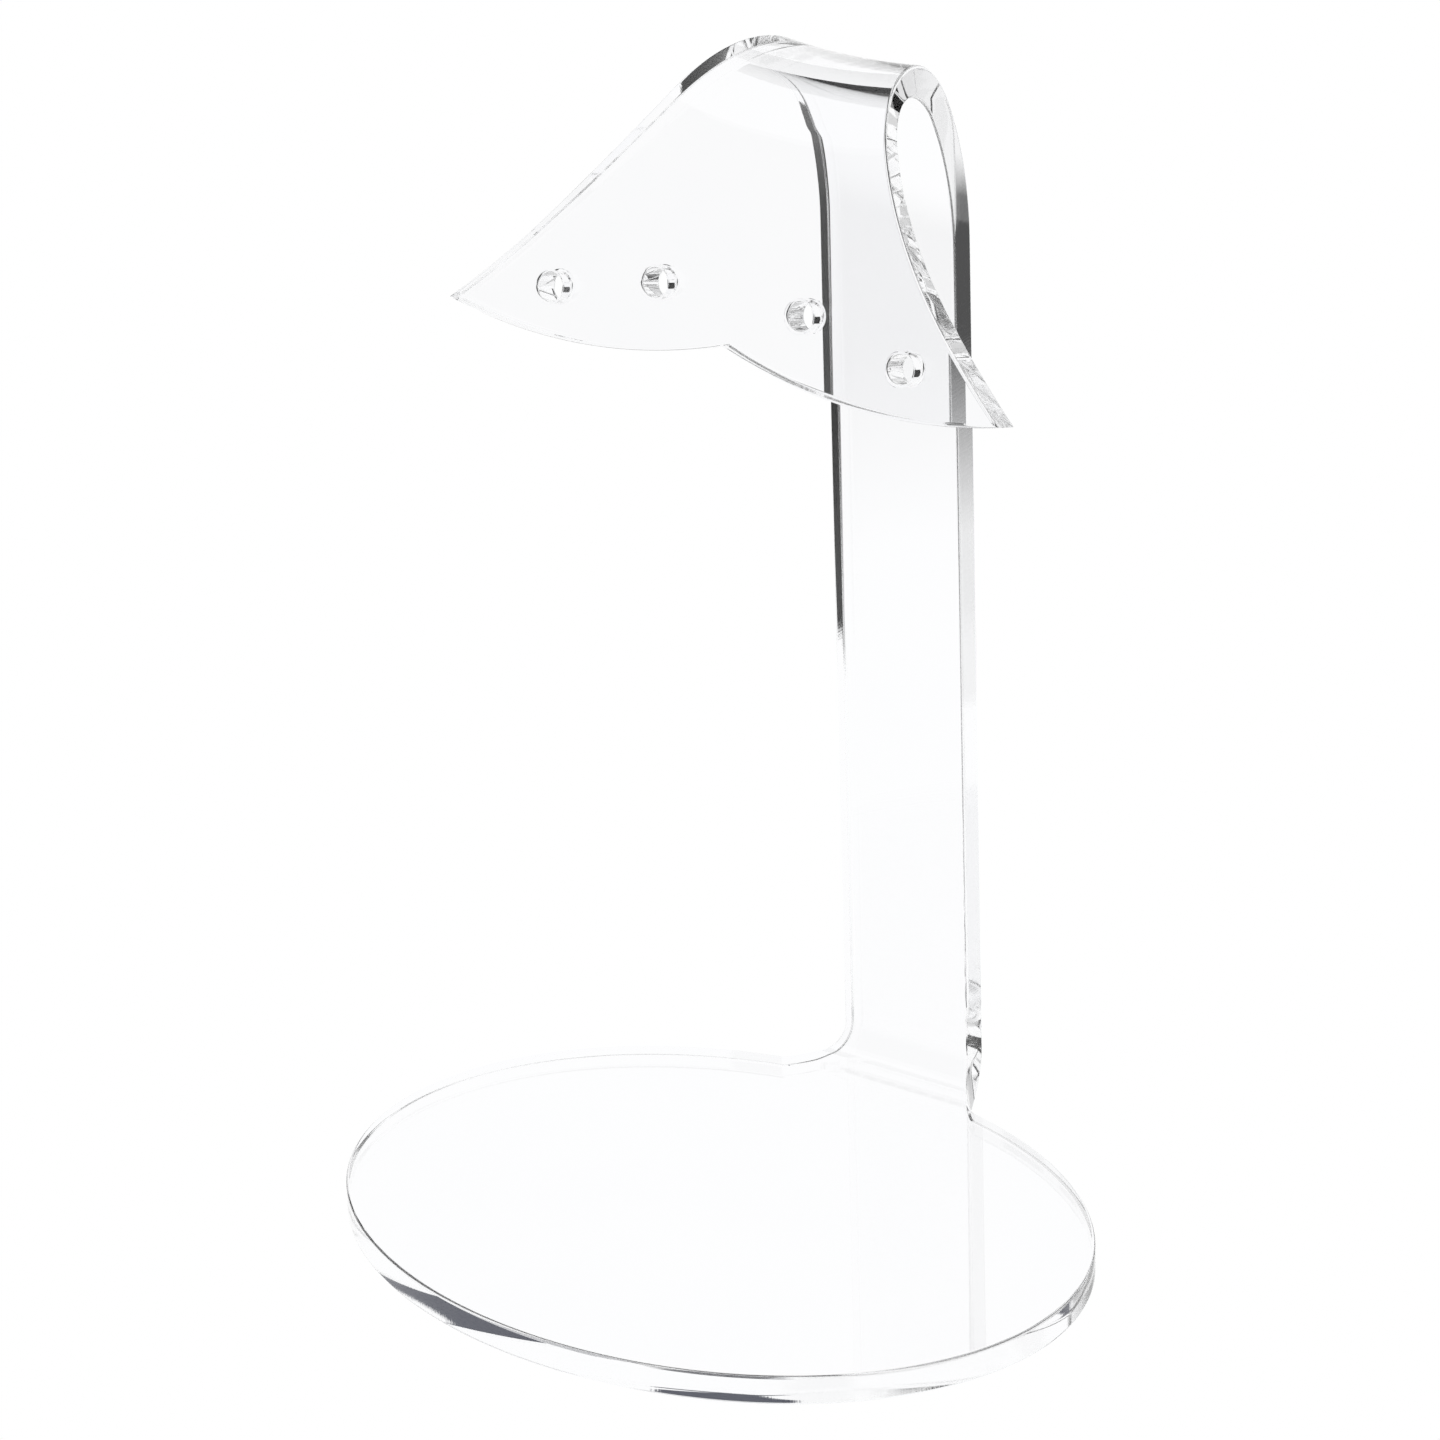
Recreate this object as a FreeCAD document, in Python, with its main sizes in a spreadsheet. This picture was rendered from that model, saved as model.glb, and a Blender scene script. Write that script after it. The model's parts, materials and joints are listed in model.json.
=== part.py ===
import FreeCAD, Part
import math
import os
import Sketcher

os.makedirs("parts", exist_ok=True)
doc = FreeCAD.newDocument("headphone_stand")
V = FreeCAD.Vector

# A headphone stand made from one sheet of clear acrylic: an oval base, a strip bent up behind it, and
# an arch that brings the strip forward and widens it into a two-lobed apron with four round holes.
# Frame: +Z up, the stand faces -Y, X = 0 is the mirror plane, the origin is on the table under the
# centre of the oval.

# ------------------------------------------------------------ driving dimensions (mm and degrees)
DIMENSIONS = {
    "sheet_thickness": 6.0,
    "base_width": 150.0,      # oval, along X
    "base_depth": 115.0,      # oval, along Y
    "stem_width": 28.0,
    "neck_end": 60.0,         # Y where the flat base stops and the lower bend starts
    "foot_bend": 5.0,         # inside radius of the lower bend
    "neck_flare": 24.0,       # radius of the sides that widen from the foot of the stem to the oval
    "neck_fillet": 3.0,       # concave corner where those sides meet the oval
    "stem_top": 178.0,        # Z where the stem stops and the arch starts
    "haunch_radius": 66.0,    # gentle ends of the arch, to the middle of the sheet
    "haunch_turn": 25.0,
    "crown_radius": 19.0,     # tight middle of the arch, to the middle of the sheet
    "crown_turn": 111.0,
    "flare_start": 28.7,      # length along the sheet from the stem's top to where it starts to widen
    "flare_rate": 0.007,      # the half width grows by this times the square of the length past there
    "apron_drop": 14.5,       # flat length from the arch to the tips
    "notch_rise": 2.7,        # height of the notch above the tips, along the apron
    "lobe_drop": 2.9,         # depth of each lobe below the tips
    "lobe_middle": 34.0,      # X of that lowest point
    "hole_diameter": 5.3,
    "inner_hole_x": 15.6,
    "inner_hole_rise": 11.1,  # height of the hole centres above the tips, along the apron
    "outer_hole_x": 37.6,
    "outer_hole_rise": 6.0,
}

# Lengths and places that follow from them.
FORMULAS = {
    "stem_front": "neck_end + foot_bend",
    "stem_foot": "sheet_thickness + foot_bend",
    "half_sheet": "sheet_thickness / 2",
    "half_stem": "stem_width / 2",
    "stem_length": "stem_top - stem_foot",
    "foot_length": "(foot_bend + half_sheet) * pi / 2",
    "flare_centre_x": "half_stem + neck_flare",
    "flare_centre_y": "neck_end + foot_length",
    "neck_half_width": "flare_centre_x - sqrt(neck_flare ^ 2 - foot_length ^ 2)",
    "crown_from": "haunch_turn",
    "crown_to": "haunch_turn + crown_turn",
    "arch_turn": "2 * haunch_turn + crown_turn",
    "apron_tilt": "180 - arch_turn",
    "radius_step": "haunch_radius - crown_radius",
    "rear_centre_y": "stem_front + half_sheet - haunch_radius",
    "crown_centre_y": "rear_centre_y + radius_step * cos(crown_from * 1deg)",
    "crown_centre_z": "stem_top + radius_step * sin(crown_from * 1deg)",
    "front_centre_y": "crown_centre_y - radius_step * cos(crown_to * 1deg)",
    "front_centre_z": "crown_centre_z - radius_step * sin(crown_to * 1deg)",
    "haunch_length": "haunch_radius * haunch_turn * pi / 180",
    "crown_length": "crown_radius * crown_turn * pi / 180",
    "arch_length": "2 * haunch_length + crown_length",
    "arch_half_width": "half_stem + flare_rate * (arch_length - flare_start) ^ 2",
    "side_half_width": "half_stem + flare_rate * (arch_length + apron_drop / 2 - flare_start) ^ 2",
    "tip_half_width": "half_stem + flare_rate * (arch_length + apron_drop - flare_start) ^ 2",
    "apron_top_y": "front_centre_y + (haunch_radius + half_sheet) * cos(arch_turn * 1deg)",
    "apron_top_z": "front_centre_z + (haunch_radius + half_sheet) * sin(arch_turn * 1deg)",
}


def fill_spreadsheet():
    """Put the driving dimensions and the formulas in one spreadsheet, each cell named by its alias."""
    table = doc.addObject("Spreadsheet::Sheet", "Sheet")
    rows = [(name, str(number)) for name, number in DIMENSIONS.items()]
    rows += [(name, "=" + formula) for name, formula in FORMULAS.items()]
    for row, (name, content) in enumerate(rows, start=1):
        table.set("A%d" % row, name)
        table.set("B%d" % row, content)
        table.setAlias("B%d" % row, name)
    doc.recompute()
    return table


sheet = fill_spreadsheet()


# ------------------------------------------------------------ helpers
QUARTER_TURN = 90.0
TOUCH = 1e-6          # places closer than this are the same


def number(formula):
    """What a formula comes to, in mm or degrees."""
    return float(sheet.evalExpression(formula.replace("Sheet.", "")))


def new_body(name):
    return doc.addObject("PartDesign::Body", name)


def origin_plane(body, role):
    """One of a body's own origin planes, such as XY_Plane."""
    return next(plane for plane in body.Origin.OriginFeatures if plane.Role == role)


def new_sketch(body, name, role, shift=("0", "0", "0"), tilt="0"):
    """A sketch on an origin plane, shifted along that plane's axes and tilted about its own X axis."""
    sketch = body.newObject("Sketcher::SketchObject", name)
    sketch.AttachmentSupport = (origin_plane(body, role), [""])
    sketch.MapMode = "FlatFace"
    # This sets the axis of the tilt; the angle itself comes from the expression below.
    sketch.AttachmentOffset = FreeCAD.Placement(V(0, 0, 0), FreeCAD.Rotation(V(1, 0, 0), QUARTER_TURN))
    sketch.setExpression(".AttachmentOffset.Rotation.Angle", tilt)
    for axis, formula in zip("xyz", shift):
        sketch.setExpression(".AttachmentOffset.Base." + axis, formula)
    return sketch


def tie(sketch, *constraint):
    """Add a constraint that has no size."""
    sketch.addConstraint(Sketcher.Constraint(*constraint))


def measure(sketch, kind, places, formula):
    """Add a constraint whose size a formula drives."""
    index = sketch.addConstraint(Sketcher.Constraint(kind, *places, number(formula)))
    sketch.setExpression("Constraints[%d]" % index, formula)


def hold_point(sketch, curve, end, across, up):
    """Hold one end of a curve at its distances from the sketch's origin."""
    measure(sketch, "DistanceX", (-1, 1, curve, end), across)
    measure(sketch, "DistanceY", (-1, 1, curve, end), up)


def draw_strip(sketch, low, high, width="Sheet.stem_width"):
    """A rectangle centred on the mirror plane, from low to high."""
    right, bottom, top = number(width) / 2, number(low), number(high)
    corners = [V(-right, bottom), V(right, bottom), V(right, top), V(-right, top)]
    for start, end in zip(corners, corners[1:] + corners[:1]):
        sketch.addGeometry(Part.LineSegment(start, end))
    for line in range(4):
        tie(sketch, "Coincident", line, 2, (line + 1) % 4, 1)
    tie(sketch, "Horizontal", 2)
    tie(sketch, "Vertical", 1)
    tie(sketch, "Symmetric", 0, 1, 0, 2, -2)
    measure(sketch, "DistanceX", (0, 1, 0, 2), width)
    measure(sketch, "DistanceY", (-1, 1, 0, 2), low)
    measure(sketch, "DistanceY", (-1, 1, 2, 1), high)


def draw_arc_pair(outline, start, on_way, end):
    """An arc on the right from start to end through a point on the way, and its mirror on the left.
    Each place is a pair of formulas. The ends are left to be joined; the bulge is held here."""
    first, middle, last = [V(number(across), number(up)) for across, up in (start, on_way, end)]
    right = outline.addGeometry(Part.Arc(first, middle, last))
    left = outline.addGeometry(Part.Arc(*[V(-point.x, point.y) for point in (first, middle, last)]))
    guide = outline.addGeometry(Part.Point(middle), True)
    hold_point(outline, guide, 1, *on_way)
    tie(outline, "PointOnObject", guide, 1, right)
    tie(outline, "Equal", right, left)
    return right, left


def new_feature(body, kind, name, **settings):
    """A feature in a body, with its properties set."""
    feature = body.newObject("PartDesign::" + kind, name)
    for key, setting in settings.items():
        setattr(feature, key, setting)
    return feature


# ------------------------------------------------------------ base: the flat oval and its neck
def build_base():
    """The flat oval, and a neck behind it that narrows towards the lower bend."""
    body = new_body("base")
    oval = new_sketch(body, "oval_outline", "XY_Plane")
    oval.addGeometry(Part.Ellipse(V(0, 0), number("Sheet.base_width / 2"), number("Sheet.base_depth / 2")))
    oval.exposeInternalGeometry(0)
    tie(oval, "Coincident", 0, 3, -1, 1)
    tie(oval, "Horizontal", 1)
    measure(oval, "Distance", (1,), "Sheet.base_width")
    measure(oval, "Distance", (2,), "Sheet.base_depth")
    plate = new_feature(body, "Pad", "base_plate", Profile=oval)
    plate.setExpression("Length", "Sheet.sheet_thickness")

    outline = new_sketch(body, "neck_outline", "XY_Plane")
    draw_neck(outline)
    neck = new_feature(body, "Pad", "neck", Profile=outline)
    neck.setExpression("Length", "Sheet.sheet_thickness")
    doc.recompute()
    fillets = new_feature(body, "Fillet", "neck_fillets", Base=(neck, inside_corners(neck)))
    fillets.setExpression("Radius", "Sheet.neck_fillet")
    return body


def draw_neck(outline):
    """The neck's outline: from the lower bend its sides widen in an arc, which runs on under the oval
    to its own lowest point."""
    narrow = ("Sheet.neck_half_width", "Sheet.neck_end")
    on_way = (
        "Sheet.flare_centre_x - Sheet.neck_flare * cos(45deg)",
        "Sheet.flare_centre_y - Sheet.neck_flare * sin(45deg)",
    )
    wide = ("Sheet.flare_centre_x", "Sheet.flare_centre_y - Sheet.neck_flare")
    right, left = draw_arc_pair(outline, narrow, on_way, wide)
    front = outline.addGeometry(Part.LineSegment(outline.getPoint(left, 1), outline.getPoint(right, 2)))
    rear = outline.addGeometry(Part.LineSegment(outline.getPoint(right, 1), outline.getPoint(left, 2)))
    # An arc's end 1 is where it starts, going anticlockwise.
    hold_point(outline, right, 1, *narrow)
    hold_point(outline, right, 2, *wide)
    tie(outline, "Symmetric", right, 1, left, 2, -2)
    tie(outline, "Symmetric", right, 2, left, 1, -2)
    tie(outline, "Coincident", front, 1, left, 1)
    tie(outline, "Coincident", front, 2, right, 2)
    tie(outline, "Coincident", rear, 1, right, 1)
    tie(outline, "Coincident", rear, 2, left, 2)


def inside_corners(neck):
    """The two upright edges where the sides of the neck leave the oval's rim."""
    farthest = number("Sheet.flare_centre_x")
    neck_end = number("Sheet.neck_end")
    found = []
    for index, edge in enumerate(neck.Shape.Edges, start=1):
        box = edge.BoundBox
        upright = box.XLength < TOUCH and box.YLength < TOUCH
        beside_neck = abs(box.XMin) < farthest - TOUCH
        if upright and beside_neck and box.YMax < neck_end - TOUCH:
            found.append("Edge%d" % index)
    return found


# ------------------------------------------------------------ stem: the straight upright strip
def build_stem():
    """The upright strip between the lower bend and the arch."""
    body = new_body("stem")
    section = new_sketch(body, "stem_section", "XY_Plane", shift=("0", "0", "Sheet.stem_foot"))
    draw_strip(section, "Sheet.stem_front", "Sheet.stem_front + Sheet.sheet_thickness")
    strip = new_feature(body, "Pad", "stem_strip", Profile=section)
    strip.setExpression("Length", "Sheet.stem_length")
    return body


# ------------------------------------------------------------ the four bends, trimmed each side
# For each bend: the place it turns about, its radius to the middle of the sheet, the turn from the
# stem's upright heading when it starts and when it ends, and how far past the stem's top it starts.
BENDS = {
    "lower_bend": (
        "Sheet.neck_end", "Sheet.stem_foot", "Sheet.foot_bend + Sheet.half_sheet",
        "-90", "0", "-Sheet.stem_length - Sheet.foot_length",
    ),
    "rear_haunch": (
        "Sheet.rear_centre_y", "Sheet.stem_top", "Sheet.haunch_radius",
        "0", "Sheet.crown_from", "0",
    ),
    "crown": (
        "Sheet.crown_centre_y", "Sheet.crown_centre_z", "Sheet.crown_radius",
        "Sheet.crown_from", "Sheet.crown_to", "Sheet.haunch_length",
    ),
    "front_haunch": (
        "Sheet.front_centre_y", "Sheet.front_centre_z", "Sheet.haunch_radius",
        "Sheet.crown_to", "Sheet.arch_turn", "Sheet.haunch_length + Sheet.crown_length",
    ),
}
WASTE_STEPS = 16      # points along each edge of a trimming cut
WASTE_OVERLAP = 1.0   # how far the cut runs past the sheet's faces and the bend's ends


def build_bend_blank(name, centre_y, centre_z, radius, turn_from, turn_to):
    """One bend before trimming: a wide strip of sheet turned about the bend's axis."""
    body = new_body(name + "_blank")
    section = new_sketch(
        body, name + "_section", "XY_Plane", shift=("0", centre_y, centre_z), tilt=turn_from
    )
    draw_strip(
        section, radius + " - Sheet.half_sheet", radius + " + Sheet.half_sheet",
        width="2 * Sheet.tip_half_width",
    )
    turned = new_feature(
        body, "Revolution", name + "_turned", Profile=section, ReferenceAxis=(section, ["H_Axis"])
    )
    turned.setExpression("Angle", "%s - (%s)" % (turn_to, turn_from))
    return body


def half_width(length):
    """Half the sheet's width at a length past the top of the stem: the neck's arc, then constant up the
    stem, then a parabola."""
    before = max(-number("Sheet.stem_length") - length, 0.0)
    past = max(length - number("Sheet.flare_start"), 0.0)
    flare = number("Sheet.neck_flare")
    hollow = flare - math.sqrt(flare**2 - before**2)
    return number("Sheet.half_stem") + hollow + number("Sheet.flare_rate") * past**2


def build_bend_waste(name, centre_y, centre_z, radius, turn_from, turn_to, start_length):
    """What is cut off the right of one bend. The cut follows the flare round the bend and stays square
    to the sheet, which no sketch or primitive makes: a ruled face between two curves, pulled outwards."""
    centre = V(0, number(centre_y), number(centre_z))
    bend_radius = number(radius)
    start, end = [math.radians(number(turn)) for turn in (turn_from, turn_to)]
    overlap_turn = WASTE_OVERLAP / bend_radius
    step_turn = (end - start + 2 * overlap_turn) / WASTE_STEPS
    turns = [start - overlap_turn + step_turn * step for step in range(WASTE_STEPS + 1)]
    reach = number("Sheet.half_sheet") + WASTE_OVERLAP
    edges = []
    for face_radius in (bend_radius - reach, bend_radius + reach):
        points = []
        for turn in turns:
            across = half_width(number(start_length) + bend_radius * (turn - start))
            outward = V(0, math.cos(turn), math.sin(turn))
            points.append(centre + outward * face_radius + V(across, 0, 0))
        curve = Part.BSplineCurve()
        curve.interpolate(Points=points, Parameters=turns)
        edges.append(curve.toShape())
    waste = doc.addObject("Part::Feature", name + "_waste")
    waste.Shape = Part.makeRuledSurface(*edges).extrude(V(number("Sheet.base_width"), 0, 0))
    return waste


def build_bend(name):
    """One bend, cut to the sheet's width on both sides."""
    *bend, start_length = BENDS[name]
    blank = build_bend_blank(name, *bend)
    waste = build_bend_waste(name, *bend, start_length)
    mirrored = doc.addObject("Part::Mirroring", name + "_waste_mirrored")
    mirrored.Source = waste
    mirrored.Normal = V(1, 0, 0)
    wastes = doc.addObject("Part::MultiFuse", name + "_wastes")
    wastes.Shapes = [waste, mirrored]
    trimmed = doc.addObject("Part::Cut", name)
    trimmed.Base = blank
    trimmed.Tool = wastes
    return trimmed


# ------------------------------------------------------------ apron: flat, flared, lobed and drilled
def apron_sketch(body, name):
    """A sketch on the apron's front face: X across, Y up along the sheet, origin at the arch's end."""
    return new_sketch(
        body, name, "XZ_Plane",
        shift=("0", "Sheet.apron_top_z", "-Sheet.apron_top_y"), tilt="-Sheet.apron_tilt",
    )


def draw_apron(outline):
    """The apron's outline: flaring sides, pointed tips, and two lobes that meet in a notch."""
    corner = ("Sheet.arch_half_width", "0")
    side = ("Sheet.side_half_width", "-Sheet.apron_drop / 2")
    tip = ("Sheet.tip_half_width", "-Sheet.apron_drop")
    lobe = ("Sheet.lobe_middle", "-Sheet.apron_drop - Sheet.lobe_drop")
    notch = ("0", "Sheet.notch_rise - Sheet.apron_drop")
    right_side, left_side = draw_arc_pair(outline, corner, side, tip)
    right_lobe, left_lobe = draw_arc_pair(outline, tip, lobe, notch)
    top = outline.addGeometry(
        Part.LineSegment(outline.getPoint(left_side, 2), outline.getPoint(right_side, 1))
    )
    # An arc's end 1 is where it starts, going anticlockwise.
    hold_point(outline, right_side, 1, *corner)
    hold_point(outline, right_side, 2, *tip)
    hold_point(outline, right_lobe, 1, *notch)
    tie(outline, "Symmetric", right_side, 1, left_side, 2, -2)
    tie(outline, "Symmetric", right_side, 2, left_side, 1, -2)
    tie(outline, "Coincident", right_lobe, 2, right_side, 2)
    tie(outline, "Coincident", left_lobe, 1, left_side, 1)
    tie(outline, "Coincident", left_lobe, 2, right_lobe, 1)
    tie(outline, "Coincident", top, 1, left_side, 2)
    tie(outline, "Coincident", top, 2, right_side, 1)


def draw_holes(circles):
    """The two holes on the right."""
    for across, rise in (("inner_hole_x", "inner_hole_rise"), ("outer_hole_x", "outer_hole_rise")):
        place = ("Sheet." + across, "Sheet.%s - Sheet.apron_drop" % rise)
        centre = V(number(place[0]), number(place[1]))
        radius = number("Sheet.hole_diameter / 2")
        circle = circles.addGeometry(Part.Circle(centre, V(0, 0, 1), radius))
        hold_point(circles, circle, 3, *place)
        measure(circles, "Diameter", (circle,), "Sheet.hole_diameter")


def build_apron():
    """The flat sheet below the arch, with two holes drilled each side."""
    body = new_body("apron")
    outline = apron_sketch(body, "apron_outline")
    draw_apron(outline)
    flat = new_feature(body, "Pad", "apron_flat", Profile=outline, Reversed=True)
    flat.setExpression("Length", "Sheet.sheet_thickness")

    circles = apron_sketch(body, "hole_circles")
    draw_holes(circles)
    holes = new_feature(body, "Pocket", "holes_right", Profile=circles)
    holes.setExpression("Length", "Sheet.sheet_thickness")
    both = new_feature(
        body, "Mirrored", "holes_both", Originals=[holes], MirrorPlane=(origin_plane(body, "YZ_Plane"), [""])
    )
    body.Tip = both
    return body


# ------------------------------------------------------------ the whole sheet
def build_sheet():
    """Every zone of the one sheet, joined with no seam."""
    whole = doc.addObject("Part::MultiFuse", "bent_acrylic_sheet")
    whole.Label = "bent_acrylic_sheet"
    flats = [build_base(), build_stem(), build_apron()]
    whole.Shapes = flats + [build_bend(name) for name in BENDS]
    whole.Refine = True
    return whole


def check_document():
    """Stop if any object failed to build."""
    for item in doc.Objects:
        if {"Invalid", "Error"} & set(item.State):
            raise RuntimeError("%s did not build: %s" % (item.Name, item.State))
        shape = getattr(item, "Shape", None)
        if shape is not None and (shape.isNull() or not shape.isValid()):
            raise RuntimeError("%s has a bad shape" % item.Name)


def export_node(item):
    """Write one node's STEP file, after checking that it is a single closed solid."""
    solids = item.Shape.Solids
    if len(solids) != 1 or not solids[0].isClosed():
        raise RuntimeError("%s is not one closed solid" % item.Label)
    solids[0].exportStep(os.path.join("parts", item.Label + ".step"))
    box = item.Shape.optimalBoundingBox()
    print("%s: %.1f x %.1f x %.1f mm, %.0f mm3" % (
        item.Label, box.XLength, box.YLength, box.ZLength, item.Shape.Volume
    ))


sheet_node = build_sheet()
doc.recompute()
check_document()
export_node(sheet_node)
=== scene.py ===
import json
from math import asin, atan2, cos, dist, pi, radians, sin, sqrt

import bpy
from mathutils import Matrix, Vector
from mathutils.geometry import delaunay_2d_cdt


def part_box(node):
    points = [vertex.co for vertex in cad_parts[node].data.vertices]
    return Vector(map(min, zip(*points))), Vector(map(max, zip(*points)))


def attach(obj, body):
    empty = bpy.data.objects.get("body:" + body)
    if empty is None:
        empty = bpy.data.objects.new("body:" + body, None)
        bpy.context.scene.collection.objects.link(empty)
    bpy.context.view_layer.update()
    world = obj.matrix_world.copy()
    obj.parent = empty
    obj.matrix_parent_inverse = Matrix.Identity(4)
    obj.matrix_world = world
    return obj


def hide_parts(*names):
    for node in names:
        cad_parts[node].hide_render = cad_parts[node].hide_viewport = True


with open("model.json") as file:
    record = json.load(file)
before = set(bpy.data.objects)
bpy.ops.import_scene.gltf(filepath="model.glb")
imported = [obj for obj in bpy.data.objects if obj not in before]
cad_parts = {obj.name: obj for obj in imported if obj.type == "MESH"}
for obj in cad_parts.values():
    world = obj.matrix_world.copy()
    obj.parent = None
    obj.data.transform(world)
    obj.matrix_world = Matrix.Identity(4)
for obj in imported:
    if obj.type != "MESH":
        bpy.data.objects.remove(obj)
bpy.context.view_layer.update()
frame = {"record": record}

# The stand is one sheet of clear acrylic. It is made here the way the real one is: a flat blank is
# outlined and drilled, its edges are polished round, and the blank is then bent along one line.
# A place on the sheet is (across, along, depth): across from the mirror plane, along the middle of
# the sheet from the centre of the oval, and depth from the middle towards the inside of the bends.


# ------------------------------------------------------------ dimensions (metres and radians)
MM = 0.001
NODE = "bent_acrylic_sheet"
mounts = {mount["name"]: mount for mount in frame["record"]["mounts"]}
bores = [mount for mount in mounts.values() if mount["kind"] == "bore"]
low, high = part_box(NODE)
crown_top = Vector(mounts["headband_rest"]["pos_m"])

half_sheet = bores[0]["dims"]["length_mm"] * MM / 2
hole_radius = bores[0]["dims"]["r_mm"] * MM
oval_half_width, oval_half_depth = high.x, -low.y
stem_y = high.y - half_sheet
apron_tilt = atan2(bores[0]["axis"][2], -bores[0]["axis"][1])

half_stem = 14 * MM
neck_flare = 24 * MM        # radius of the sides that widen from the foot of the stem to the oval
neck_fillet = 3 * MM
foot_radius = 5 * MM + half_sheet
crown_radius = 19 * MM
haunch_turn = radians(25)
crown_turn = pi - apron_tilt - 2 * haunch_turn
# The two haunches are as round as they must be to bring the crown forward from the stem.
haunch_radius = (stem_y - crown_top.y - crown_radius * cos(haunch_turn)) / (1 - cos(haunch_turn))
crown_z = crown_top.z - half_sheet - crown_radius
stem_top = crown_z - (haunch_radius - crown_radius) * sin(haunch_turn)

flare_start = 28.7 * MM     # past the stem's top
flare_rate = 7.0            # per metre
apron_drop = 14.5 * MM
notch_rise = 2.7 * MM
lobe_drop = 2.9 * MM
lobe_middle = 34 * MM

edge_round = 0.6 * MM       # left by polishing the cut edges
crown_sag = 0.9 * MM        # the middle of the tight bend sinks a little as it is formed

FACE_SLOT, EDGE_SLOT = 0, 1         # places in the sheet's list of materials

# How finely the curves are stepped.
TURN_STEP = radians(1.5)
LENGTH_STEP = 1.5 * MM
STEPS_ACROSS = 12
ROUND_STEPS = 4
FILLET_STEPS = 10
HOLE_STEPS = 64


# ------------------------------------------------------------ the bending line
def build_path():
    """The middle of the sheet in the YZ plane: for each flat or bend, how far along it starts, its
    length, its starting place and heading, and its turn per metre."""
    pieces = []
    along, y, z, heading = -oval_half_depth, -oval_half_depth, half_sheet, 0.0
    neck_end = stem_y - foot_radius
    for length, turn in (
        (neck_end + oval_half_depth, 0.0),
        (foot_radius * pi / 2, pi / 2),
        (stem_top - half_sheet - foot_radius, 0.0),
        (haunch_radius * haunch_turn, haunch_turn),
        (crown_radius * crown_turn, crown_turn),
        (haunch_radius * haunch_turn, haunch_turn),
        (apron_drop + 2 * lobe_drop, 0.0),
    ):
        pieces.append((along, length, y, z, heading, turn / length))
        y, z, heading = walk(pieces[-1], length)
        along += length
    return pieces


def walk(piece, length):
    """Place and heading after going a length along one piece of the bending line."""
    _, _, y, z, heading, bend = piece
    if bend == 0:
        return y + cos(heading) * length, z + sin(heading) * length, heading
    turned = heading + bend * length
    return y + (sin(turned) - sin(heading)) / bend, z + (cos(heading) - cos(turned)) / bend, turned


path = build_path()
neck_end, stem_start, arch_start, crown_start, _, apron_start = [piece[0] for piece in path[1:]]
tip_along = apron_start + apron_drop
crown_length = crown_radius * crown_turn
crown_middle = crown_start + crown_length / 2
sag_reach = 0.75 * crown_length     # each way from the middle of the crown


def half_width(along):
    """Half the width from the neck to the tips: the neck's arcs, a constant stem, then a parabola."""
    before = max(stem_start - along, 0.0)
    if before > 0:
        return half_stem + neck_flare - sqrt(neck_flare**2 - before**2)
    past = max(along - arch_start - flare_start, 0.0)
    return half_stem + flare_rate * past**2


def sag(across, along):
    """How far the crown has sunk at a place: most in the middle, nothing at its edges and ends."""
    share = (along - crown_middle) / sag_reach
    if abs(share) >= 1:
        return 0.0
    return crown_sag * cos(share * pi / 2) ** 2 * max(1 - (across / half_width(along)) ** 2, 0.0)


def bend(across, along, depth):
    """Where a place on the flat blank ends up on the bent sheet."""
    piece = next(piece for piece in reversed(path) if along >= piece[0] or piece is path[0])
    y, z, heading = walk(piece, along - piece[0])
    inward = depth + sag(across, along)
    return Vector((across, y - sin(heading) * inward, z + cos(heading) * inward))


def turn_with_sheet(direction, across, along):
    """A direction on the flat blank, turned to follow the bent sheet there."""
    small = 0.01 * MM
    right = (bend(across + small, along, 0) - bend(across - small, along, 0)).normalized()
    onward = (bend(across, along + small, 0) - bend(across, along - small, 0)).normalized()
    inward = right.cross(onward).normalized()
    return (right * direction[0] + onward * direction[1] + inward * direction[2]).normalized()


# ------------------------------------------------------------ the flat blank's outline
def split(start, end, steps):
    """Evenly spaced numbers from start up to but not including end."""
    return [start + (end - start) * step / steps for step in range(steps)]


def oval_point(angle):
    """A place on the oval's rim, by its angle from the front."""
    return oval_half_width * sin(angle), -oval_half_depth * cos(angle)


def oval_outward(angle):
    """The outward direction of the oval's rim there."""
    normal = Vector((sin(angle) / oval_half_width, -cos(angle) / oval_half_depth))
    return normal.normalized()


def fillet_centre(angle):
    """The centre of a neck fillet that touches the oval at this angle."""
    return Vector(oval_point(angle)) + oval_outward(angle) * neck_fillet


neck_centre = Vector((half_stem + neck_flare, stem_start))


def find_fillet_angle():
    """Where on the oval the fillet touches it that also touches the neck's arc, by halving."""
    near, far = pi - asin(neck_centre.x / oval_half_width), pi
    for _ in range(50):
        middle = (near + far) / 2
        if (fillet_centre(middle) - neck_centre).length < neck_flare - neck_fillet:
            near = middle
        else:
            far = middle
    return near


def arc_through(start, on_way, end, steps):
    """Points along the circle arc from start through a point on the way, without its end."""
    ax, ay = on_way[0] - start[0], on_way[1] - start[1]
    bx, by = end[0] - start[0], end[1] - start[1]
    cross = 2 * (ax * by - ay * bx)
    cx = start[0] + (by * (ax**2 + ay**2) - ay * (bx**2 + by**2)) / cross
    cy = start[1] + (ax * (bx**2 + by**2) - bx * (ax**2 + ay**2)) / cross
    radius = dist(start, (cx, cy))
    first = atan2(start[1] - cy, start[0] - cx)
    turn = (atan2(end[1] - cy, end[0] - cx) - first + pi) % (2 * pi) - pi
    return [(cx + radius * cos(first + a), cy + radius * sin(first + a)) for a in split(0, turn, steps)]


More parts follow.
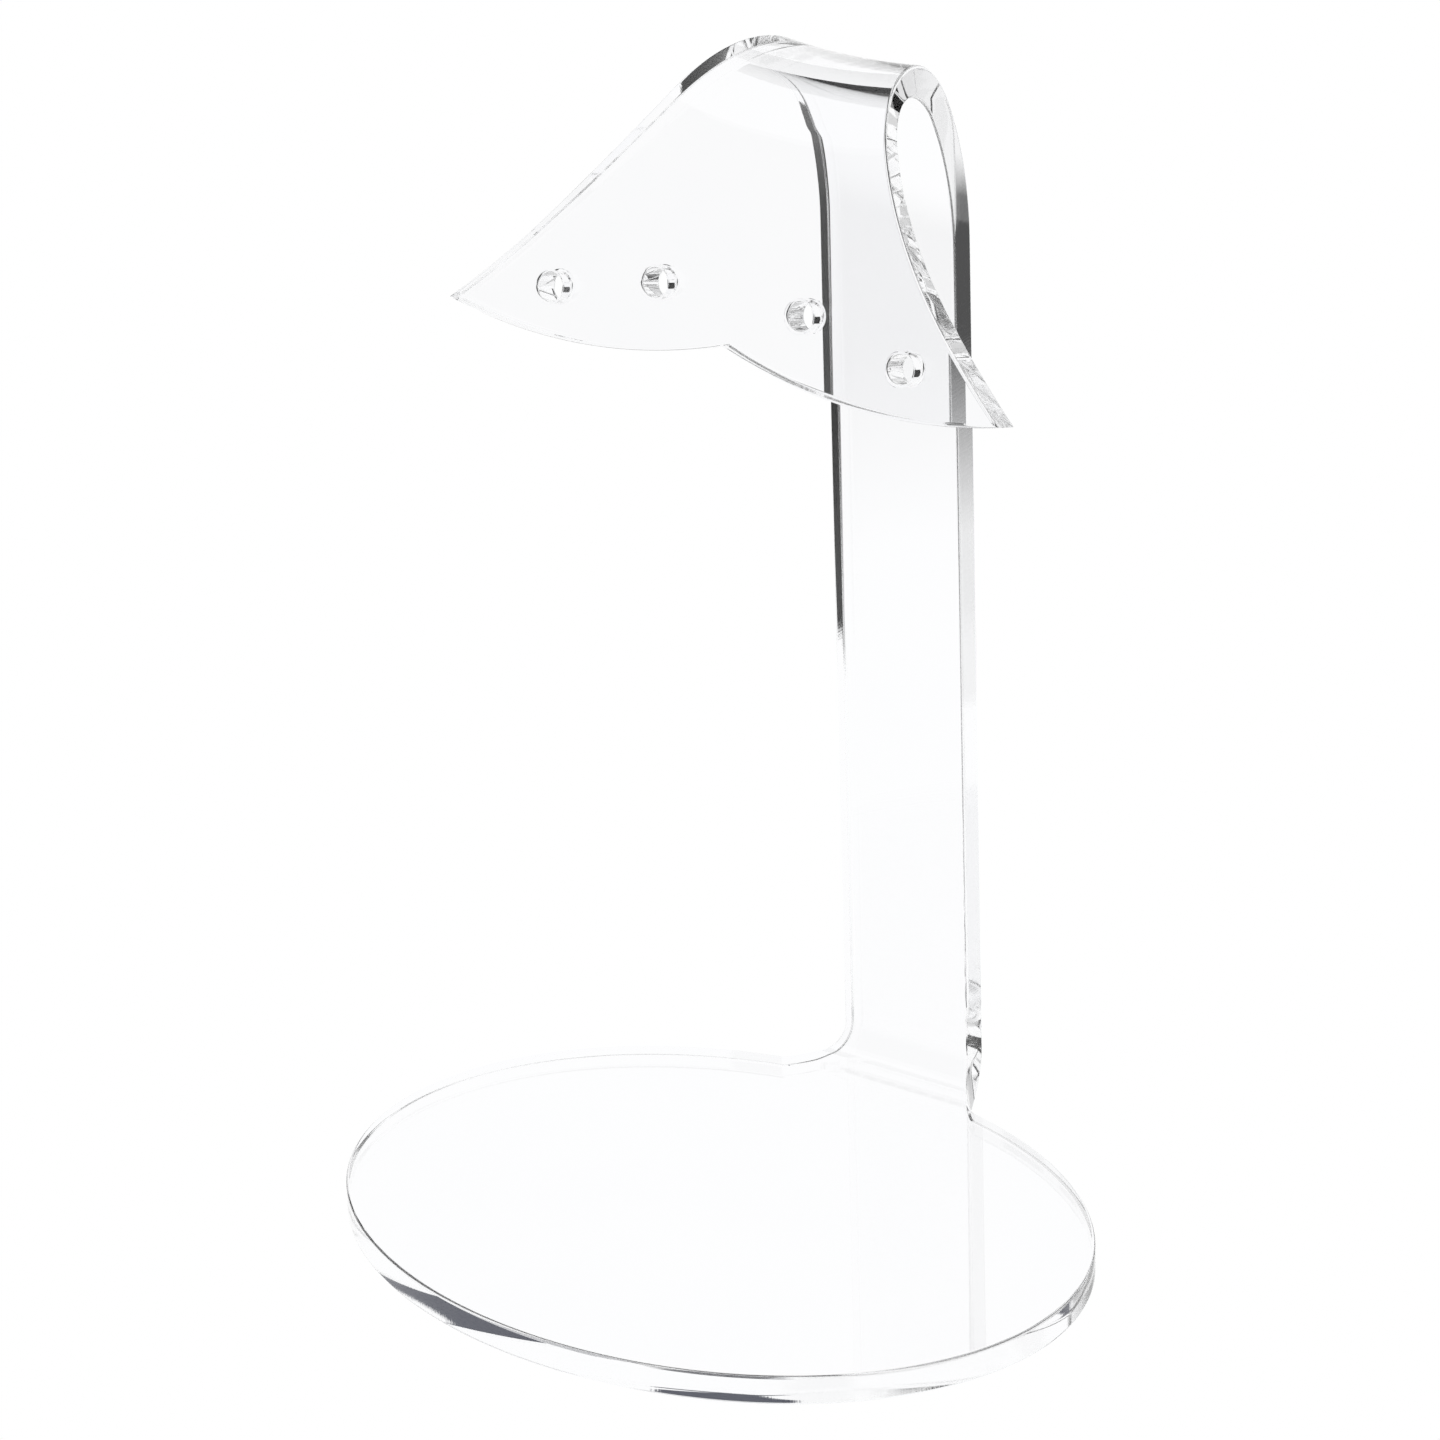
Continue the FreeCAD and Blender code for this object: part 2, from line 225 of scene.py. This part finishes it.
def stations(start):
    """Lengths along the sheet, from a start on the neck to the tips, that the sides are stepped at:
    evenly in the flats, and by turn in the bends."""
    found = split(start, neck_end, round((neck_end - start) / LENGTH_STEP) + 1)
    for along, length, _, _, _, bend_rate in path[1:-1]:
        turn_steps = abs(bend_rate) * length / TURN_STEP
        found += split(along, along + length, round(max(turn_steps, length / (3 * LENGTH_STEP))))
    return found + split(apron_start, tip_along, round(apron_drop / LENGTH_STEP))


def half_outline():
    """The right half of the outline, from the front of the oval round to the notch, and the places in
    it where it turns a sharp corner."""
    touch = find_fillet_angle()
    oval_length = touch * (oval_half_width + oval_half_depth) / 2
    points = [oval_point(angle) for angle in split(0, touch, round(oval_length / LENGTH_STEP))]

    centre = fillet_centre(touch)
    start = Vector(oval_point(touch))
    end = neck_centre + (centre - neck_centre).normalized() * neck_flare
    on_way = centre + ((start + end) / 2 - centre).normalized() * neck_fillet
    points += arc_through(start, on_way, end, FILLET_STEPS)
    points += [(half_width(along), along) for along in stations(end.y)]

    tip = (half_width(tip_along), tip_along)
    lobe = (lobe_middle, tip_along + lobe_drop)
    notch = (0.0, tip_along - notch_rise)
    first_corner = len(points)
    points += arc_through(tip, lobe, notch, round(tip[0] / LENGTH_STEP))
    return points + [notch], (first_corner, len(points))


def hole_outline(mount):
    """One hole, going round clockwise, so that its outward side is the hole."""
    x, y, z = mount["pos_m"]
    _, _, start_y, start_z, heading, _ = path[-1]
    along = apron_start + (y - start_y) * cos(heading) + (z - start_z) * sin(heading)
    turns = [-2 * pi * step / HOLE_STEPS for step in range(HOLE_STEPS)]
    return [(x + hole_radius * cos(a), along + hole_radius * sin(a)) for a in turns]


# ------------------------------------------------------------ the sheet's mesh
def edge_profile():
    """From one broad face over the polished cut edge to the other: how far in from the outline, the
    depth, and how much the surface faces outward and inward."""
    quarter = []
    for angle in [pi / 2 * (1 - step / ROUND_STEPS) for step in range(ROUND_STEPS + 1)]:
        inset = edge_round * (1 - cos(angle))
        depth = half_sheet - edge_round * (1 - sin(angle))
        quarter.append((inset, depth, cos(angle), sin(angle)))
    return quarter + [(inset, -depth, out, -up) for inset, depth, out, up in reversed(quarter)]


class SheetMesh:
    """Collects vertices, faces, and each face corner's normal and sheet place."""

    def __init__(self):
        self.vertices = []
        self.faces = []
        self.normals = []
        self.places = []
        self.materials = []

    def add_vertex(self, across, along, depth):
        """A vertex at a place on the sheet. Returns its number."""
        self.vertices.append(bend(across, along, depth))
        return len(self.vertices) - 1

    def add_face(self, corners, material):
        """A face from (vertex, normal, place) corners."""
        self.faces.append([vertex for vertex, _, _ in corners])
        self.normals += [normal for _, normal, _ in corners]
        self.places += [place for _, _, place in corners]
        self.materials.append(material)


def outward_normals(points, corners):
    """For each point of a loop, the outward normal of the side before it and of the side after it."""
    found = []
    for index, (x, y) in enumerate(points):
        before, after = points[index - 1], points[(index + 1) % len(points)]
        sides = []
        for start, end in ((before, (x, y)), ((x, y), after)):
            length = dist(start, end)
            sides.append(Vector(((end[1] - start[1]) / length, -(end[0] - start[0]) / length)))
        if index not in corners:
            smooth = Vector((after[1] - before[1], before[0] - after[0])).normalized()
            sides = [smooth, smooth]
        found.append(sides)
    return found


def add_edge(mesh, points, corners=()):
    """The cut edge along one loop. Returns each loop point's inset place and its vertices at the two
    broad faces."""
    profile = edge_profile()
    normals = outward_normals(points, corners)
    rows = []
    for (x, y), (before, after) in zip(points, normals):
        mitre = (before + after) / (1 + before.dot(after))
        rows.append([
            mesh.add_vertex(x - mitre.x * inset, y - mitre.y * inset, depth)
            for inset, depth, _, _ in profile
        ])
    length = 0.0
    for index, row in enumerate(rows):
        onward = (index + 1) % len(rows)
        step = dist(points[index], points[onward])
        sides = (
            (row, points[index], normals[index][1], length),
            (rows[onward], points[onward], normals[onward][0], length + step),
        )
        for level in range(len(profile) - 1):
            corners_here = []
            for side, step_level in ((0, level), (0, level + 1), (1, level + 1), (1, level)):
                vertices, (x, y), normal, distance = sides[side]
                _, depth, out, up = profile[step_level]
                turned = turn_with_sheet((normal.x * out, normal.y * out, up), x, y)
                corners_here.append((vertices[step_level], turned, (distance, depth)))
            mesh.add_face(corners_here, EDGE_SLOT)
        length += step
    inset_places = []
    for (x, y), (before, after) in zip(points, normals):
        mitre = (before + after) / (1 + before.dot(after))
        inset_places.append((x - mitre.x * edge_round, y - mitre.y * edge_round))
    return inset_places, [row[0] for row in rows], [row[-1] for row in rows]


def add_broad_faces(mesh, loops, ladder):
    """Both broad faces: the area inside the first loop and outside the others, stepped across at each
    rung of the ladder so that it follows the bends."""
    places, above, below, edges = [], [], [], []
    for inset_places, top, bottom in loops:
        first = len(places)
        count = len(inset_places)
        places += inset_places
        above += top
        below += bottom
        edges += [(first + step, first + (step + 1) % count) for step in range(count)]
    for right, left in ladder:
        rung = [right]
        (x0, y0), (x1, _) = places[right], places[left]
        for x in split(x0, x1, STEPS_ACROSS)[1:]:
            rung.append(len(places))
            places.append((x, y0))
            above.append(mesh.add_vertex(x, y0, half_sheet))
            below.append(mesh.add_vertex(x, y0, -half_sheet))
        rung.append(left)
        edges += list(zip(rung, rung[1:]))
    # The triangulation works in millimetres, and keeps only what lies inside the loops.
    flat = [Vector((x / MM, y / MM)) for x, y in places]
    keep_inside, tolerance = 1, 1e-6
    _, _, triangles, origins, _, _ = delaunay_2d_cdt(flat, edges, [], keep_inside, tolerance)
    holes = [Vector(sum_of(loop[0])) / len(loop[0]) for loop in loops[1:]]
    for triangle in triangles:
        ids = [origins[vertex][0] for vertex in triangle]
        middle = Vector(sum_of([places[i] for i in ids])) / 3
        if any((middle - hole).length < hole_radius for hole in holes):
            continue
        for vertices, order, up in ((above, ids, 1), (below, ids[::-1], -1)):
            corners = [(vertices[i], turn_with_sheet((0, 0, up), *places[i]), places[i]) for i in order]
            mesh.add_face(corners, FACE_SLOT)


def sum_of(points):
    """The sums of the points' two coordinates."""
    return sum(x for x, _ in points), sum(y for _, y in points)


def build_sheet():
    """The whole sheet as one closed mesh."""
    mesh = SheetMesh()
    half, (tip, notch) = half_outline()
    others = [(-x, y) for x, y in reversed(half[1:notch])]
    outline = half + others
    count = len(outline)
    loops = [add_edge(mesh, outline, (tip, notch, count - tip))]
    for bore in bores:
        loops.append(add_edge(mesh, hole_outline(bore)))
    rungs = [i for i, (_, y) in enumerate(half[:tip]) if neck_end <= y < apron_start - edge_round]
    add_broad_faces(mesh, loops, [(i, count - i) for i in rungs])

    data = bpy.data.meshes.new("sheet")
    data.from_pydata(mesh.vertices, [], mesh.faces)
    data.polygons.foreach_set("use_smooth", [True] * len(mesh.faces))
    data.polygons.foreach_set("material_index", mesh.materials)
    layer = data.uv_layers.new(name="sheet_place")
    layer.data.foreach_set("uv", [part for place in mesh.places for part in place])
    data.normals_split_custom_set(mesh.normals)
    data.validate()
    piece = bpy.data.objects.new("clear_sheet", data)
    bpy.context.scene.collection.objects.link(piece)
    return piece


# ------------------------------------------------------------ materials
def new_material(name):
    """An empty node material."""
    material = bpy.data.materials.new(name)
    material.use_nodes = True
    material.node_tree.nodes.clear()
    return material, material.node_tree.nodes, material.node_tree.links


def add_node(nodes, kind, **inputs):
    """A shader node of a kind, with these input values."""
    node = nodes.new("ShaderNode" + kind)
    for name, value in inputs.items():
        node.inputs[name.replace("_", " ")].default_value = value
    return node


def clear_acrylic(name, bump_scale, bump_stretch, bump_strength):
    """Clear acrylic: light goes through and bends, and a very fine waviness is left by its finish."""
    material, nodes, links = new_material(name)
    shader = add_node(nodes, "BsdfPrincipled", IOR=1.49, Roughness=0.0, Transmission_Weight=1.0)
    place = add_node(nodes, "UVMap")
    place.uv_map = "sheet_place"
    stretch = add_node(nodes, "Mapping", Scale=bump_stretch)
    noise = add_node(nodes, "TexNoise", Scale=bump_scale, Detail=3.0, Roughness=0.6)
    bump = add_node(nodes, "Bump", Strength=bump_strength, Distance=0.1 * MM)
    tint = add_node(nodes, "ValToRGB")
    tint.color_ramp.elements[0].color = (0.975, 0.978, 0.990, 1)
    tint.color_ramp.elements[1].color = (0.995, 0.996, 1.000, 1)
    output = add_node(nodes, "OutputMaterial")
    links.new(place.outputs["UV"], stretch.inputs["Vector"])
    links.new(stretch.outputs["Vector"], noise.inputs["Vector"])
    links.new(noise.outputs["Fac"], bump.inputs["Height"])
    links.new(bump.outputs["Normal"], shader.inputs["Normal"])
    links.new(noise.outputs["Fac"], tint.inputs["Fac"])
    links.new(tint.outputs["Color"], shader.inputs["Base Color"])
    links.new(shader.outputs["BSDF"], output.inputs["Surface"])
    return material


# ------------------------------------------------------------ studio and camera
# The camera looks down on the stand from its front right. The cards are placed by how far they are to
# the right of the line of sight, how far behind the stand, and how high.
AZIMUTH, ELEVATION, ROLL = radians(34.9), radians(25.8), radians(-1.8)
CAMERA_DISTANCE = 1.3511
CAMERA_LENS = 186.64        # millimetres, on Blender's usual 36 mm sensor
AIM_RIGHT, AIM_HEIGHT = 3.44 * MM, 106.36 * MM      # the place that the camera looks at

FLOOR_HEIGHT = -0.2 * MM    # just clear of the base's underside
FLAT_PIECE_HEIGHT = -0.1 * MM    # the black patch and the strips of painted shadow lie on the floor
FLOOR_FULL_SHADE_X, FLOOR_SHADE_START_X = -0.30, -0.20            # the floor's glow falls off into painted shade between these
FLOOR_SHADE_BRIGHTNESS = 0.1
to_right = Vector((cos(AZIMUTH), sin(AZIMUTH), 0))
to_rear = Vector((-sin(AZIMUTH), cos(AZIMUTH), 0))


def glow_material(name, *colour):
    """A surface that shows one even colour, whatever the light."""
    material, nodes, links = new_material(name)
    light = add_node(nodes, "Emission", Color=(*colour, 1))
    output = add_node(nodes, "OutputMaterial")
    links.new(light.outputs["Emission"], output.inputs["Surface"])
    return material


def floor_material():
    """A white floor that glows by itself, and whose glow falls off into painted shade towards the left.
    """
    material = glow_material("studio_floor", 1.0, 1.0, 1.0)
    nodes, links = material.node_tree.nodes, material.node_tree.links
    place = add_node(nodes, "TexCoord")
    split_place = add_node(nodes, "SeparateXYZ")
    # Painted shade: the floor's glow drops towards the left.
    ramp = add_node(nodes, "MapRange")
    ramp.inputs["From Min"].default_value = FLOOR_FULL_SHADE_X
    ramp.inputs["From Max"].default_value = FLOOR_SHADE_START_X
    ramp.inputs["To Min"].default_value = FLOOR_SHADE_BRIGHTNESS
    links.new(place.outputs["Object"], split_place.inputs["Vector"])
    links.new(split_place.outputs["X"], ramp.inputs["Value"])
    links.new(ramp.outputs["Result"], nodes["Emission"].inputs["Strength"])
    return material


def add_stage_mesh(name, points, faces, material):
    """A mesh that belongs to the studio and not to the object."""
    data = bpy.data.meshes.new(name)
    data.from_pydata(points, [], faces)
    data.materials.append(material)
    piece = bpy.data.objects.new(name, data)
    bpy.context.scene.collection.objects.link(piece)
    return piece


def add_panel(name, right, rear, up, facing, width, height, material):
    """A flat panel centred at a place in the studio and facing a direction along the ground, or lying
    on the floor if it faces up."""
    x, y = width / 2, height / 2
    corners = [(-x, -y, 0), (x, -y, 0), (x, y, 0), (-x, y, 0)]
    panel = add_stage_mesh(name, corners, [(0, 1, 2, 3)], material)
    panel.location = to_right * right + to_rear * rear + Vector((0, 0, up))
    if facing.z:
        panel.rotation_euler = (0, 0, AZIMUTH)
    else:
        panel.rotation_mode = "QUATERNION"
        panel.rotation_quaternion = facing.to_track_quat("Z", "Y")
    return panel


def add_card(name, **settings):
    """A panel that shows only in the sheet, so that it never hides the stand from another side."""
    add_panel(name, **settings).visible_camera = False


def add_painted_rim_shadow(name, start, end, material):
    """A narrow strip of painted shadow lying along the oval's far rim, where the rim hides it from the
    camera. It stands in for the dark contact shadow that the rim casts on the floor. Light that has
    crossed the oval leaves there, so the near rim looks as dark as the strip."""
    points = []
    steps = 8
    inner_gap, outer_gap = 0.5 * MM, 8.5 * MM
    for angle in split(start, end, steps) + [end]:
        rim, outward = Vector(oval_point(angle)), oval_outward(angle)
        for gap in (inner_gap, outer_gap):
            place = rim + outward * gap
            points.append((place.x, place.y, FLAT_PIECE_HEIGHT))
    faces = [(2 * i, 2 * i + 1, 2 * i + 3, 2 * i + 2) for i in range(steps)]
    add_stage_mesh(name, points, faces, material).visible_camera = False


def build_studio():
    """White all round, with a black patch on the floor to the right and cards standing on the left and
    high behind. They are outside the picture, but the light bent by the cut edges comes from them. Two
    strips of painted shadow lie on the floor along the oval's far rim."""
    skyward = Vector((0, 0, 1))
    black = glow_material("studio_black", 0.0, 0.0, 0.0)
    grey = glow_material("studio_grey", 0.6, 0.6, 0.6)
    rim_shadow_paint = glow_material("studio_painted_rim_shadow", 0.05, 0.055, 0.08)
    # The colour of the painted shadow strips along the oval's far rim.
    add_panel(
        "floor", right=0, rear=0, up=FLOOR_HEIGHT, facing=skyward,
        width=6, height=6, material=floor_material(),
    )
    add_panel(
        "black_floor_right", right=0.515, rear=0.22, up=FLAT_PIECE_HEIGHT, facing=skyward,
        width=0.6, height=0.88, material=black,
    )
    add_card(
        "black_card_left", right=-0.235, rear=0.325, up=0.10, facing=to_right,
        width=0.45, height=0.20, material=black,
    )
    add_card(
        "grey_card", right=-0.50, rear=-0.1, up=0.40, facing=to_right,
        width=1.4, height=0.80, material=grey,
    )
    add_card(
        "black_card_high", right=-0.24, rear=0.5, up=0.545, facing=-to_rear,
        width=0.5, height=0.4, material=black,
    )
    # Two strips of painted shadow on the floor behind the oval's far rim, where the rim casts a dark
    # contact shadow.
    add_painted_rim_shadow("painted_rim_shadow_left", radians(-150), radians(-140), rim_shadow_paint)
    add_painted_rim_shadow("painted_rim_shadow_middle", radians(-164), radians(-154), rim_shadow_paint)
    scene = bpy.context.scene
    scene.world = bpy.data.worlds.new("studio")
    scene.world.use_nodes = True
    scene.world.node_tree.nodes["Background"].inputs["Color"].default_value = (1, 1, 1, 1)
    scene.view_settings.view_transform = "Standard"
    # Light crosses the oval by many reflections between its faces.
    scene.cycles.max_bounces = 32
    scene.cycles.transmission_bounces = 32
    scene.cycles.glossy_bounces = 24


def build_camera():
    """The camera, turned a little about its line of sight."""
    back = Vector((sin(AZIMUTH) * cos(ELEVATION), -cos(AZIMUTH) * cos(ELEVATION), sin(ELEVATION)))
    upright = back.cross(to_right)
    rolled_right = to_right * cos(ROLL) + upright * sin(ROLL)
    rolled_up = upright * cos(ROLL) - to_right * sin(ROLL)
    lens = bpy.data.cameras.new("camera")
    lens.lens = CAMERA_LENS
    camera = bpy.data.objects.new("camera", lens)
    place = to_right * AIM_RIGHT + Vector((0, 0, AIM_HEIGHT)) + back * CAMERA_DISTANCE
    turn = Matrix((rolled_right, rolled_up, back)).transposed().to_4x4()
    camera.matrix_world = Matrix.Translation(place) @ turn
    bpy.context.scene.collection.objects.link(camera)
    bpy.context.scene.camera = camera


# ------------------------------------------------------------ the scene
sheet = build_sheet()
sheet.data.materials.append(
    clear_acrylic("acrylic_faces", bump_scale=30.0, bump_stretch=(1, 1, 1), bump_strength=0.02)
)
# The saw and the polishing leave fine lines across the cut edges.
sheet.data.materials.append(
    clear_acrylic("acrylic_cut_edges", bump_scale=60.0, bump_stretch=(40, 1, 1), bump_strength=0.05)
)
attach(sheet, "root")
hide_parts(NODE)
build_studio()
build_camera()
